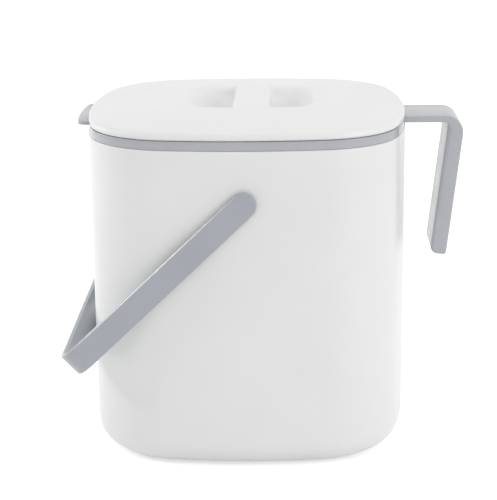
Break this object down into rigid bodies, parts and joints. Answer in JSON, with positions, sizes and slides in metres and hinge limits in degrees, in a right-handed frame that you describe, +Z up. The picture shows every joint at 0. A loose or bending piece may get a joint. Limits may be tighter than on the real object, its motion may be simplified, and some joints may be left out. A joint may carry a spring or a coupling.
{
  "type": "compost caddy",
  "caption": "Free-standing compost caddy: outer bin with a swinging bail, lift-out inner bucket with a side grip and pouring tab, and a sealed lift-off lid with two finger pockets.",
  "frame": {"origin": "centre of the flat base, on the surface that the caddy stands on", "axes": "+Z up; +X towards the side grip, with the pouring tab at -X; the bail pivots lie on the Y axis' direction, front at -Y and back at +Y"},
  "size_m": [0.241, 0.198, 0.2094],
  "materials": {
    "bin_white": "smooth white moulded plastic, softly glossy",
    "bail_grey": "smooth cool grey moulded plastic",
    "pin_grey": "plain cool grey plastic",
    "bucket_grey": "smooth cool grey moulded plastic, satin",
    "lid_white": "smooth white moulded plastic, softly glossy",
    "plate_white": "plain white moulded plastic",
    "seal_grey": "soft grey silicone"
  },
  "bodies": {
    "bin": {"outer_bin": "bin_white"},
    "bail": {"bail_handle": "bail_grey", "pivot_pin_front": "pin_grey", "pivot_pin_back": "pin_grey"},
    "bucket": {"inner_bucket": "bucket_grey"},
    "lid": {"lid_cover": "lid_white", "lid_inner_plate": "plate_white", "lid_seal": "seal_grey"}
  },
  "joints": [
    {"name": "bail_swing", "type": "hinge", "parent": "bin", "child": "bail", "pos_m": [0, 0, 0.1627], "axis": [0, 1, 0], "range_deg": [0, 267.2]},
    {"name": "bucket_lift", "type": "slide", "parent": "bin", "child": "bucket", "axis": [0, 0, 1], "range_m": [0, 0.2]},
    {"name": "lid_lift", "type": "slide", "parent": "bucket", "child": "lid", "axis": [0, 0, 1], "range_m": [0, 0.06]}
  ]
}
